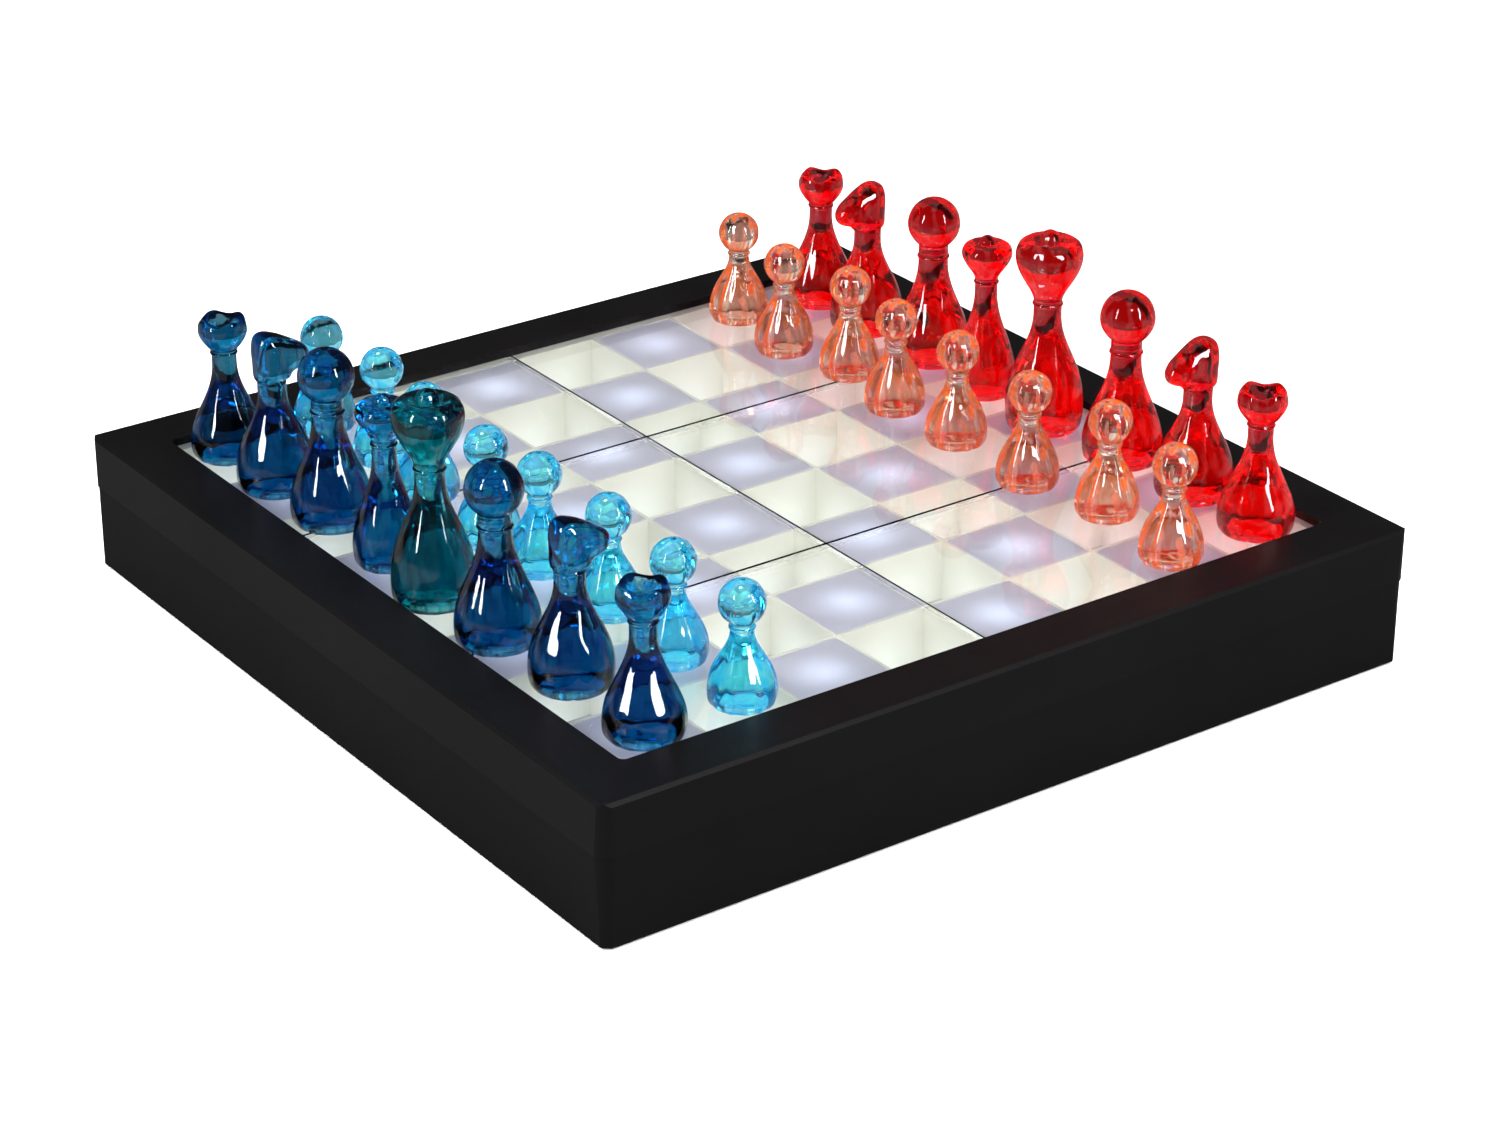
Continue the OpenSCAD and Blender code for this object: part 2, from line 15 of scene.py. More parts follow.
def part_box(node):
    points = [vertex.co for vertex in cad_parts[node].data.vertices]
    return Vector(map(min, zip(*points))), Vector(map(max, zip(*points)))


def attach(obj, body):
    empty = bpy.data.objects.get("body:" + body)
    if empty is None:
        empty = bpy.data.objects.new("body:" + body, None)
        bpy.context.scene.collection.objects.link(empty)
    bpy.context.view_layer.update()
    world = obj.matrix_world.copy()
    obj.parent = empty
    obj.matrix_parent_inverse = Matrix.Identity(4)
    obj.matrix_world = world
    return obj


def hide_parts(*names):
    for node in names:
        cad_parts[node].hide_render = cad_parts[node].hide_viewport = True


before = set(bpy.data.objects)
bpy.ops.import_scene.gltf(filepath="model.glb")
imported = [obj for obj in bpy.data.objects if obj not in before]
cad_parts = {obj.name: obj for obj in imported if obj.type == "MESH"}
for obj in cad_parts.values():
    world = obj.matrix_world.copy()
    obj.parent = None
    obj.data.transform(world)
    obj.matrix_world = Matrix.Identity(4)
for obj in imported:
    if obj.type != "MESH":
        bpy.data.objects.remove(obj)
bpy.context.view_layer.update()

bl_info = {
    "name": "Chess Computer Looks",
    "version": (1, 0, 0),
    "blender": (4, 5, 0),
    "location": "View3D > Sidebar > Chess",
    "description": "Shells, lit board, clear plates and tinted chess pieces of an electronic chess computer",
    "category": "Object",
}

MM = 0.001
SQUARE = 38.1 * MM
FILES = "abcdefgh"
ACRYLIC_IOR = 1.49
# Distance from the middle of the board, towards the red side, over which the lamps turn warm and the painted
# glow takes the painted pink cast of the red pieces
TINT_START = 1.2 * SQUARE
TINT_END = 2.7 * SQUARE
BACK_ROW = ("rook", "knight", "bishop", "queen", "king", "bishop", "knight", "rook")
PLATES = ("plate_front_left", "plate_front_middle", "plate_front_right",
          "plate_back_left", "plate_back_middle", "plate_back_right")


# ---------------------------------------------------------------- sizes and colours

def colour(name, description, default):
    return FloatVectorProperty(name=name, description=description, default=default,
                               subtype="COLOR", size=3, min=0, max=1)


def length(name, description, default):
    return FloatProperty(name=name, description=description, default=default, unit="LENGTH", min=0)


class ChessShellSettings(bpy.types.PropertyGroup):
    """Housing of the board"""
    plastic: colour("Plastic", "Colour of the black housing", (0.0022, 0.0020, 0.0022))
    edge_round: length("Edge rounding", "Radius of the housing's edges", 0.6 * MM)
    grain: length("Grain", "Size of the grain moulded into the plastic", 0.35 * MM)


class ChessBoardSettings(bpy.types.PropertyGroup):
    """Lit board under the clear plates"""
    acrylic: colour("Clear plates", "Tint of the clear plates", (0.985, 0.985, 0.995))
    frost: colour("Frosted tiles", "Tint of the frosted tiles on the light squares", (0.80, 0.79, 0.90))
    cell: colour("Light cells", "Colour of the grid that parts the cells", (0.80, 0.79, 0.68))
    light: colour("Lights", "Tint of the lights under the blue side", (0.90, 0.95, 1.0))
    # On the cell walls and frosted tiles the far tint is painted light: the pink cast of the red pieces
    warm_lamp_and_painted_cast: colour("Far lights", "Tint of the lights under the red side", (1.0, 0.74, 0.88))
    brightness: FloatProperty(name="Brightness", description="Strength of the lights", default=11, min=0)
    plate_bevel: length("Plate edges", "Bevel on the edges of the plates", 0.5 * MM)
    tile_round: length("Tile corners", "Corner radius of a frosted tile", 2.2 * MM)


class ChessPieceSettings(bpy.types.PropertyGroup):
    """Turned chess pieces"""
    navy: colour("Navy", "Colour that light keeps through a neck of the blue back row", (0.05, 0.40, 0.60))
    teal: colour("Teal", "Colour that light keeps through the neck of the blue king", (0.03, 0.45, 0.50))
    cyan: colour("Cyan", "Colour that light keeps through the neck of a blue pawn", (0.45, 0.93, 1.0))
    ruby: colour("Ruby", "Colour that light keeps through a neck of the red back row", (0.99, 0.02, 0.05))
    blush: colour("Blush", "Colour that light keeps through the neck of a red pawn", (0.93, 0.86, 0.80))
    sides: IntProperty(name="Sides", description="Steps round a turned piece", default=128, min=24)
    steps: IntProperty(name="Steps", description="Steps along each curve of an outline", default=14, min=4)


class ChessStageSettings(bpy.types.PropertyGroup):
    """Floor, lights and camera"""
    floor: colour("Floor", "Colour of the floor", (0.93, 0.93, 0.935))
    floor_bounce: colour("Floor bounce", "Colour of the floor as the object sees it", (0.12, 0.12, 0.123))
    sky: FloatProperty(name="Sky", description="Strength of the surroundings", default=0.05, min=0)
    sky_through: FloatProperty(name="Sky seen through", default=0.85, min=0,
                               description="Strength of the surroundings seen through clear pieces")
    ceiling: FloatProperty(name="Ceiling", description="Power of the light overhead, in watts", default=190,
                           min=0)
    key: FloatProperty(name="Softboxes", description="Power of each softbox, in watts", default=40, min=0)
    key_side: length("Softbox side", "Width of each softbox", 0.36)


# ---------------------------------------------------------------- material makers

class Shader:
    """A node material under construction around one Principled shader"""

    def __init__(self, name, **values):
        self.material = bpy.data.materials.new(name)
        self.material.use_nodes = True
        self.nodes = self.material.node_tree.nodes
        self.links = self.material.node_tree.links
        self.principled = self.nodes["Principled BSDF"]
        self.output = self.nodes["Material Output"]
        for socket, value in values.items():
            self.set(socket.replace("_", " "), value)

    def set(self, socket, value):
        if hasattr(value, "__len__"):
            value = (*value, 1.0) if len(value) == 3 else tuple(value)
        self.principled.inputs[socket].default_value = value

    def node(self, kind, **inputs):
        made = self.nodes.new(kind)
        for key, value in inputs.items():
            if key in made.bl_rna.properties:
                setattr(made, key, value)
            else:
                made.inputs[key.replace("_", " ")].default_value = value
        return made

    def join(self, source, target):
        self.links.new(source, target)

    def coordinates(self):
        return self.node("ShaderNodeTexCoord").outputs["Object"]

    def noise(self, scale, detail=2.0, roughness=0.5, stretch=None):
        made = self.node("ShaderNodeTexNoise", Scale=scale, Detail=detail, Roughness=roughness)
        place = self.coordinates()
        self.join(self.vector("MULTIPLY", place, stretch) if stretch else place, made.inputs["Vector"])
        return made.outputs["Fac"]

    def ramp(self, factor, low, high, start=0.3, end=0.7):
        made = self.node("ShaderNodeValToRGB")
        made.color_ramp.elements[0].position = start
        made.color_ramp.elements[1].position = end
        made.color_ramp.elements[0].color = (*low, 1)
        made.color_ramp.elements[1].color = (*high, 1)
        self.join(factor, made.inputs["Fac"])
        return made.outputs["Color"]

    def between(self, factor, low, high):
        made = self.node("ShaderNodeMapRange", To_Min=low, To_Max=high)
        self.join(factor, made.inputs["Value"])
        return made.outputs["Result"]

    def vector(self, operation, source, values=None):
        made = self.node("ShaderNodeVectorMath", operation=operation)
        self.join(source, made.inputs[0])
        if hasattr(values, "is_output"):
            self.join(values, made.inputs[1])
        elif values:
            made.inputs[1].default_value = values
        return made.outputs["Value" if operation == "LENGTH" else "Vector"]

    def painted_glow(self, light_z, near, far):
        """Mask of the painted glow: falls from 1 near the light of each cell to 0 far from it"""
        squares = self.vector("MULTIPLY", self.coordinates(), (1 / SQUARE, 1 / SQUARE, 0))
        cells = self.vector("FRACTION", squares)
        across = self.vector("MULTIPLY", self.vector("SUBTRACT", cells, (0.5, 0.5, 0)), (SQUARE, SQUARE, 0))
        if light_z is not None:
            rise = self.vector("MULTIPLY", self.coordinates(), (0, 0, 1))
            across = self.vector("ADD", across, self.vector("SUBTRACT", rise, (0, 0, light_z)))
        fall = self.node("ShaderNodeMapRange", interpolation_type="SMOOTHSTEP", From_Min=near, From_Max=far,
                         To_Min=1.0, To_Max=0.0)
        self.join(self.vector("LENGTH", across), fall.inputs["Value"])
        return fall.outputs["Result"]

    def side_tint(self, near, far):
        """Colour that shades from the blue side of the board to the red side; in the painted glow its warm
        end is the painted pink cast of the red pieces
        """
        place = self.node("ShaderNodeSeparateXYZ")
        self.join(self.coordinates(), place.inputs["Vector"])
        along = self.node("ShaderNodeMapRange", From_Min=TINT_START, From_Max=TINT_END)
        self.join(place.outputs["Y"], along.inputs["Value"])
        return self.ramp(along.outputs["Result"], near, far, 0.0, 1.0)

    def emit_painted_glow(self, painted_glow, painted_light, near, far):
        """Painted light given off as emission, in place of the lamp light the surface passes on: dim and weak
        away from the cell's light, bright and strong close to it
        """
        shade = self.ramp(painted_glow, painted_light.dim, painted_light.bright, 0.0, 1.0)
        tinted = self.vector("MULTIPLY", shade, self.side_tint(near, far))
        power = self.between(painted_glow, painted_light.weak, painted_light.strong)
        self.join(tinted, self.principled.inputs["Emission Color"])
        self.join(power, self.principled.inputs["Emission Strength"])

    def bump(self, height, strength, distance):
        made = self.node("ShaderNodeBump", Strength=strength, Distance=distance)
        self.join(height, made.inputs["Height"])
        self.join(made.outputs["Normal"], self.principled.inputs["Normal"])


class PaintedCellLight(NamedTuple):
    """Painted glow that a surface in a cell gives off in place of the lamp light it passes on: colours and
    strengths far from the lens and close to it, and the distances from the lens between which it fades"""
    dim: tuple
    bright: tuple
    weak: float
    strong: float
    fade_from: float
    fade_to: float


# Painted glow of the grid walls and of the frosted tiles, in place of the lamp light they pass on
WALL_PAINTED_GLOW = PaintedCellLight((0.92, 0.96, 0.90), (0.84, 0.94, 1.0), 0.11, 0.62, 10 * MM, 31 * MM)
TILE_PAINTED_GLOW = PaintedCellLight((0.82, 0.88, 1.0), (0.76, 0.88, 1.0), 0.04, 0.38, -3 * MM, 17 * MM)


def scaled(rgb, factor):
    return tuple(min(1.0, c * factor) for c in rgb)


def grained_plastic(name, rgb, grain, roughness, lift=1.0):
    """Moulded plastic with a fine, even grain; lift paints a lighter copy of it, standing in for more light
    falling on it
    """
    shader = Shader(name, Base_Color=rgb, Specular_IOR_Level=0.10)
    broad = shader.noise(18, 4)
    # Tone varies at random; lift paints all of it lighter, as painted light
    shader.join(shader.ramp(broad, scaled(rgb, 0.85 * lift), scaled(rgb, 1.2 * lift)),
                shader.principled.inputs["Base Color"])
    fine = shader.noise(1 / grain, 3, 0.65)
    shader.join(shader.between(fine, roughness - 0.08, roughness + 0.1),
                shader.principled.inputs["Roughness"])
    shader.bump(fine, 0.5, grain * 0.25)
    return shader.material


def clear_acrylic(name, rgb):
    """Polished clear sheet with the faintest haze"""
    shader = Shader(name, Base_Color=rgb, Transmission_Weight=1.0, IOR=ACRYLIC_IOR, Roughness=0.0)
    smear = shader.noise(9, 3)
    shader.join(shader.between(smear, 0.0, 0.03), shader.principled.inputs["Roughness"])
    return shader.material


def frosted_acrylic(name, rgb, near, far):
    """Milky tile with a painted glow in place of the lamp light it scatters, brightest over the middle of its
    cell
    """
    shader = Shader(name, Base_Color=rgb, Transmission_Weight=0.5, IOR=ACRYLIC_IOR, Roughness=0.4)
    shader.emit_painted_glow(shader.painted_glow(None, TILE_PAINTED_GLOW.fade_from, TILE_PAINTED_GLOW.fade_to), TILE_PAINTED_GLOW, near, far)
    speck = shader.noise(2600, 2)
    shader.join(shader.ramp(speck, scaled(rgb, 0.93), scaled(rgb, 1.05)),
                shader.principled.inputs["Base Color"])
    shader.bump(speck, 0.3, 0.05 * MM)
    return shader.material


def dyed_acrylic(name, rgb, dye):
    """Clear acrylic dyed through, with flow lines and streaks: light keeps rgb after the dye's depth"""
    shader = Shader(name, Base_Color=dye.heart, Transmission_Weight=1.0, IOR=ACRYLIC_IOR, Roughness=0.0)
    skin_depth = shader.node("ShaderNodeLayerWeight", Blend=0.5)
    streaks = shader.noise(300, 1, 0.5, (1, 1, 0.16))
    middle = 0.1
    bands = shader.node("ShaderNodeMapRange", From_Min=0.36, From_Max=0.64, To_Min=middle - dye.patches,
                        To_Max=middle + dye.patches)
    shader.join(streaks, bands.inputs["Value"])
    blend = shader.node("ShaderNodeMath", operation="ADD")
    shader.join(bands.outputs["Result"], blend.inputs[0])
    shader.join(skin_depth.outputs["Facing"], blend.inputs[1])
    tint = shader.ramp(blend.outputs["Value"], dye.heart, dye.edge, 0.25, 0.65)
    shader.join(tint, shader.principled.inputs["Base Color"])
    clear = shader.node("ShaderNodeMapRange", From_Min=0.3, From_Max=0.75, To_Min=1.0, To_Max=1.0 - dye.cloud)
    shader.join(blend.outputs["Value"], clear.inputs["Value"])
    shader.join(clear.outputs["Result"], shader.principled.inputs["Transmission Weight"])
    wear = shader.noise(70, 3)
    shader.join(shader.between(wear, 0.0, 0.01), shader.principled.inputs["Roughness"])
    shader.bump(shader.noise(190, 0, 0.5, (1, 1, 0.35)), 1.0, dye.flow)
    darkest = 0.002
    loss = [-math.log(max(c, darkest)) / dye.depth for c in rgb]
    density = max(loss)
    absorber = shader.node("ShaderNodeVolumeAbsorption")
    absorber.inputs["Color"].default_value = (*(1 - part / density for part in loss), 1)
    absorber.inputs["Density"].default_value = density
    shader.join(absorber.outputs["Volume"], shader.output.inputs["Volume"])
    return shader.material


def lit_lenses(name, near, far, strength):
    """Milky lenses of lights that are on, shading from one side of the board to the other"""
    shader = Shader(name, Base_Color=(0.9, 0.92, 1.0), Roughness=0.3, Emission_Strength=strength)
    shader.join(shader.side_tint(near, far), shader.principled.inputs["Emission Color"])
    return shader.material


def solder_mask(name, field, other, gap):
    """Circuit board with the faint blocks of copper under its solder mask"""
    shader = Shader(name, Roughness=0.35)
    tracks = shader.node("ShaderNodeTexBrick", Scale=160.0)
    shader.join(shader.coordinates(), tracks.inputs["Vector"])
    for socket, rgb in (("Color1", field), ("Color2", other), ("Mortar", gap)):
        tracks.inputs[socket].default_value = (*rgb, 1)
    shader.join(tracks.outputs["Color"], shader.principled.inputs["Base Color"])
    return shader.material


def plain_metal(name, rgb, roughness, scale=900):
    """Plated metal with fine drawn marks"""
    shader = Shader(name, Base_Color=rgb, Metallic=1.0, Roughness=roughness)
    marks = shader.noise(scale, 4)
    shader.join(shader.between(marks, roughness - 0.08, roughness + 0.12),
                shader.principled.inputs["Roughness"])
    shader.bump(marks, 0.15, 0.02 * MM)
    return shader.material


# ---------------------------------------------------------------- mesh makers

def dress(name, material, bevel=0.0, segments=2):
    """A CAD node gets a material and, if asked, rounded edges"""
    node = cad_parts[name]
    node.data.materials.clear()
    node.data.materials.append(material)
    if bevel:
        rounding = node.modifiers.new("Edges", "BEVEL")
        rounding.width = bevel
        rounding.segments = segments
        rounding.limit_method = "ANGLE"
        rounding.angle_limit = math.radians(40)
        rounding.harden_normals = True
    return node


def add_mesh(name, vertices, faces, material, smooth=True):
    mesh = bpy.data.meshes.new(name)
    mesh.from_pydata(vertices, [], faces)
    mesh.validate()
    made = bpy.data.objects.new(name, mesh)
    bpy.context.scene.collection.objects.link(made)
    mesh.materials.append(material)
    mesh.polygons.foreach_set("use_smooth", [smooth] * len(mesh.polygons))
    return made


def bezier(p0, p1, p2, p3, steps):
    """A cubic curve, without its first point"""
    points = []
    for i in range(1, steps + 1):
        t = i / steps
        s = 1 - t
        points.append(tuple(s**3 * a + 3 * s * s * t * b + 3 * s * t * t * c + t**3 * d
                            for a, b, c, d in zip(p0, p1, p2, p3)))
    return points


def arc(centre, radius, start, end, steps):
    """Points of an arc, angles in degrees"""
    points = []
    for i in range(steps + 1):
        a = math.radians(start + (end - start) * i / steps)
        points.append((centre[0] + radius * math.cos(a), centre[1] + radius * math.sin(a)))
    return points


def rounded_square(width, radius, z, corner_steps=6):
    """Ring of points round a square with round corners, in metres"""
    ring = []
    reach = width / 2 - radius
    for quarter in range(4):
        cx = reach if quarter in (0, 3) else -reach
        cy = reach if quarter in (0, 1) else -reach
        for x, y in arc((cx, cy), radius, quarter * 90, quarter * 90 + 90, corner_steps):
            ring.append((x, y, z))
    return ring


def skin(rings):
    """Vertices and faces of a closed skin over rings with the same number of points"""
    count = len(rings[0])
    vertices = [p for ring in rings for p in ring]
    faces = []
    for r in range(len(rings) - 1):
        a = r * count
        b = a + count
        for i in range(count):
            j = (i + 1) % count
            faces.append((a + i, a + j, b + j, b + i))
    last = (len(rings) - 1) * count
    faces.append(tuple(reversed(range(count))))
    faces.append(tuple(range(last, last + count)))
    return vertices, faces


def frosted_square(bottom, top, corner, centre):
    """One tile: a round-cornered square with softened edges, just clear of the plate above it"""
    gap = 1.5 * MM
    levels = ((0.3 * MM, bottom), (0.0, bottom + 0.25 * MM), (0.0, top - 0.3 * MM),
              (0.1 * MM, top - 0.12 * MM), (0.3 * MM, top - 0.05 * MM))
    rings = []
    for inset, z in levels:
        ring = rounded_square(SQUARE - gap - 2 * inset, corner, z)
        rings.append([tuple(Vector(p) + centre) for p in ring])
    return skin(rings)


# ---------------------------------------------------------------- outlines of the turned pieces, in mm

def body_outline(foot_r, belly_r, belly_z, neck_r, neck_z, swell, waist, steps):
    """Foot, belly and long neck, all one flowing line, swelling and drawn in by two shares of the rise"""
    rise = neck_z - belly_z
    lower = bezier((foot_r, 0), (belly_r * 0.96, 0.3), (belly_r, belly_z * 0.5), (belly_r, belly_z), steps)
    upper = bezier((belly_r, belly_z), (belly_r, belly_z + swell * rise), (neck_r, neck_z - waist * rise),
                   (neck_r, neck_z), steps * 2)
    return [(foot_r - 0.6, 0), (foot_r, 0)] + lower + upper


def neck_bead(neck_r, z):
    """Small rounded bead where the head sits on the neck"""
    bead_r, foot = 0.55, 0.9
    bead = [(neck_r + bead_r * math.cos(math.radians(a)), z + bead_r * math.sin(math.radians(a)))
            for a in range(-80, 81, 20)]
    return [(neck_r, z - foot)] + bead + [(neck_r, z + foot)]


def ball_outline(radius, neck_r, z, steps):
    """Ball on a neck, with a small dimple where it was moulded"""
    start = math.degrees(math.acos(neck_r / radius))
    dimple = 82
    ball = arc((0, z), radius, -start, dimple, steps * 3)
    edge_r, edge_z = ball[-1]
    return ball + bezier((edge_r, edge_z), (edge_r * 0.7, edge_z + 0.02), (edge_r * 0.6, edge_z - 0.5),
                         (0, edge_z - 0.5), max(4, steps // 2))


def pawn_outline(height, steps):
    ball_r, neck_r = 8.2, 4.1
    z = height - ball_r
    return (body_outline(10.3, 12, 5, neck_r, z - 10, 0.45, 0.32, steps) + neck_bead(neck_r, z - 8.8)
            + ball_outline(ball_r, neck_r, z, steps))


def bishop_outline(height, steps):
    ball_r, neck_r = 10.4, 5.9
    z = height - ball_r
    return (body_outline(13.2, 15.3, 7.6, neck_r, z - 15.6, 0.32, 0.40, steps) + neck_bead(neck_r, z - 13.6)
            + ball_outline(ball_r, neck_r, z, steps))


def rook_outline(height, steps):
    neck_r, rim_r = 4.7, 7.6
    cup = height - 14
    return (body_outline(12.2, 14.3, 6, neck_r, cup - 4.2, 0.32, 0.40, steps) + neck_bead(neck_r, cup)
            + bezier((neck_r, cup + 1), (6.6, cup + 3), (9.7, cup + 6.5), (9.2, cup + 10), steps)
            + bezier((9.2, cup + 10), (9.1, cup + 12.5), (8.6, height), (rim_r, height), steps)
            + bezier((rim_r, height), (6, height), (5.4, height - 4.2), (0, height - 4.2), steps))


def queen_outline(height, steps):
    neck_r, nub_r = 4.4, 3.3
    cup = height - 18.5
    return (body_outline(10.8, 12.6, 8, neck_r, cup - 4, 0.32, 0.40, steps) + neck_bead(neck_r, cup - 0.4)
            + bezier((neck_r, cup + 0.8), (5.2, cup + 4), (9.4, cup + 7), (9.9, cup + 11.4), steps)
            + bezier((9.9, cup + 11.4), (9.9, cup + 13.4), (8.8, cup + 14.8), (6.8, cup + 15.3), steps // 2)
            + bezier((6.8, cup + 15.3), (5, cup + 15.6), (3.8, cup + 15.4), (nub_r, cup + 15.2), steps // 2)
            + arc((0, height - nub_r), nub_r, 0, 90, steps))


def king_outline(height, steps):
    neck_r = 5.4
    cup = height - 29
    return (body_outline(13.6, 15.1, 9, neck_r, cup - 4, 0.45, 0.38, steps) + neck_bead(neck_r, cup - 0.5)
            + bezier((neck_r, cup + 1), (6.4, cup + 6), (12.6, cup + 11), (12.95, cup + 19), steps)
            + bezier((12.95, cup + 19), (13, cup + 22.5), (11.4, cup + 24.6), (8.6, cup + 25.2), steps // 2)
            + bezier((8.6, cup + 25.2), (6, cup + 24.8), (4.2, cup + 24), (4, cup + 24), steps // 2)
            + arc((0, height - 4.1), 4.1, -10, 90, steps))


KNIGHT_BELLY_R = 14.8
KNIGHT_HEAD_H = 18.5
KNIGHT_HALF_WIDTH = 6.6


def knight_body_outline(height, steps):
    neck_r = 5.4
    head = height - KNIGHT_HEAD_H
    return (body_outline(12.4, KNIGHT_BELLY_R, 7, neck_r, head - 5, 0.42, 0.36, steps)
            + [(neck_r, head - 1.6), (neck_r + 0.1, head - 0.8), (neck_r - 0.5, head - 0.2),
               (neck_r - 0.6, head + 2)]
            + bezier((neck_r - 0.6, head + 2), (neck_r - 0.8, head + 4), (2, head + 6), (0, head + 6),
                     steps // 2))


# Side view of a knight's head as [forward, up from the head's foot], in mm: nape, poll, brow, muzzle, jaw
KNIGHT_SIDE = ((-5.6, -0.6), (-6.3, 6), (-6.5, 12.5), (-5.2, 17.2), (-1.6, 18.3), (3.5, 16.6), (9, 13.6),
               (13.6, 10.6), (15.4, 7.2), (14.0, 3.9), (10.6, 2.4), (7.6, 1.2), (5.8, -1.0), (0.2, -2.0))


def closed_curve(points, steps):
    """Smooth closed curve through a few points"""
    made = []
    count = len(points)
    for i in range(count):
        p0, p1, p2, p3 = (Vector(points[(i + k) % count]) for k in (-1, 0, 1, 2))
        for step in range(steps):
            t = step / steps
            made.append(0.5 * ((2 * p1) + (p2 - p0) * t + (2 * p0 - 5 * p1 + 4 * p2 - p3) * t * t
                               + (3 * p1 - p0 - 3 * p2 + p3) * t**3))
    return made


def knight_head_mesh(height):
    """Head carved as a rounded slab: its side view swells to full width at the cheek"""
    foot = height - KNIGHT_HEAD_H
    side = closed_curve(KNIGHT_SIDE, 6)
    cheek = Vector((1.6, 8.4))
    muzzle_reach, muzzle_slim = 15, 0.22
    roundness, flatness = 0.62, 0.8
    rows = 22
    rings = []
    for row in range(1, rows):
        turn = math.pi * row / rows - math.pi / 2
        spread = math.cos(turn) ** roundness
        across = math.copysign(abs(math.sin(turn)) ** flatness, turn) * KNIGHT_HALF_WIDTH
        ring = []
        for p in side:
            q = cheek + (p - cheek) * spread
            slim = 1 - muzzle_slim * max(0.0, q.x) / muzzle_reach
            ring.append((across * slim * MM, q.x * MM, (foot + q.y) * MM))
        rings.append(ring)
    return skin(rings)


def knight_piece(height, steps, sides, material):
    """Turned body and carved head as one solid"""
    outline = hollow_outline("knight") + knight_body_outline(height, steps)
    body = add_mesh("knight_body", *turned_mesh(outline, sides), material)
    head = add_mesh("knight_head", *knight_head_mesh(height), material)
    joint = body.modifiers.new("Head", "BOOLEAN")
    joint.operation = "UNION"
    joint.solver = "EXACT"
    joint.object = head
    bpy.context.view_layer.update()
    made = bpy.data.meshes.new_from_object(body.evaluated_get(bpy.context.evaluated_depsgraph_get()))
    body.modifiers.clear()
    body.data = made
    made.polygons.foreach_set("use_smooth", [True] * len(made.polygons))
    bpy.data.objects.remove(head)
    return body


OUTLINES = {"pawn": pawn_outline, "bishop": bishop_outline, "rook": rook_outline, "queen": queen_outline,
            "king": king_outline}
# Radius and depth of the hollow under each kind of piece, in mm
HOLLOWS = {"pawn": (5.5, 2.5), "bishop": (8, 3.5), "rook": (7, 3), "queen": (6.5, 3), "king": (8, 4),
           "knight": (7, 3)}
# Share of the radius that the pulled lines take at their deepest
FLUTE_DEPTH = {"pawn": 0.035, "officer": 0.024}


def hollow_outline(kind):
    """Inside of the hollow under a piece, from its middle out to the foot, with soft corners"""
    radius, depth = HOLLOWS[kind]
    soft = depth - 0.5
    return ([(0, depth)] + arc((radius - soft, depth - soft), soft, 90, 0, 8)
            + [(radius, 0.3), (radius + 0.3, 0)])


def flute(angle, depth):
    """Share of the radius left at an angle by the shallow pulled lines of clear acrylic"""
    swing = 0.55 * math.cos(13 * angle) + 0.3 * math.cos(7 * angle + 1.3) + 0.15 * math.cos(19 * angle + 0.4)
    return 1 - depth * 0.5 * (1 - swing)


def turned_mesh(outline, sides, wave=None, depth=0.0):
    """Vertices and faces of an outline of (radius, height) in mm, turned about +Z, in metres"""
    vertices, faces, rows = [], [], []
    for r, z in outline:
        if r < 1e-6:
            rows.append([len(vertices)])
            vertices.append((0, 0, z * MM))
            continue
        row = []
        for i in range(sides):
            a = 2 * math.pi * i / sides
            lift = wave(r, z, a) if wave else 0.0
            reach = r * flute(a, depth)
            row.append(len(vertices))
            vertices.append((reach * math.cos(a) * MM, reach * math.sin(a) * MM, (z + lift) * MM))
        rows.append(row)
    for low, high in zip(rows, rows[1:]):
        for i in range(sides):
            j = (i + 1) % sides
            if len(low) == 1 and len(high) > 1:
                faces.append((low[0], high[j], high[i]))
            elif len(high) == 1 and len(low) > 1:
                faces.append((low[i], low[j], high[0]))
            elif len(low) > 1:
                faces.append((low[i], low[j], high[j], high[i]))
    return vertices, faces


def rook_wave(height):
    """Four soft dips round a rook's rim, fading out down the cup and towards its middle"""
    dips, half_depth, fade_down, fade_in = 4, 0.8, 5.5, 5

    def lift(r, z, angle):
        share = max(0.0, (z - height + fade_down) / fade_down) * min(1.0, r / fade_in)
        return -half_depth * share * (1 - math.cos(dips * angle))
    return lift


def piece_nodes(kind, side):
    """Nodes of one kind on one side"""
    if kind == "pawn":
        return [f"{side}_pawn_{f}" for f in FILES]
    return [f"{side}_{kind}_{f}" for f, k in zip(FILES, BACK_ROW) if k == kind]


def dye_of(kind, side):
    if side == "red":
        return "blush" if kind == "pawn" else "ruby"
    if kind == "pawn":
        return "cyan"
    return "teal" if kind == "king" else "navy"


class Dye(NamedTuple):
    """How a dye lies in clear acrylic"""
    depth: float        # thickness of the neck, through which light keeps the dye's colour
    heart: tuple        # tint of the skin seen face on
    edge: tuple         # tint of the skin seen edge on and in the streaks
    flow: float         # depth of the flow lines
    patches: float      # how much the dye gathers in streaks instead of at the edges
    cloud: float        # share of the streaks that lets no light straight through


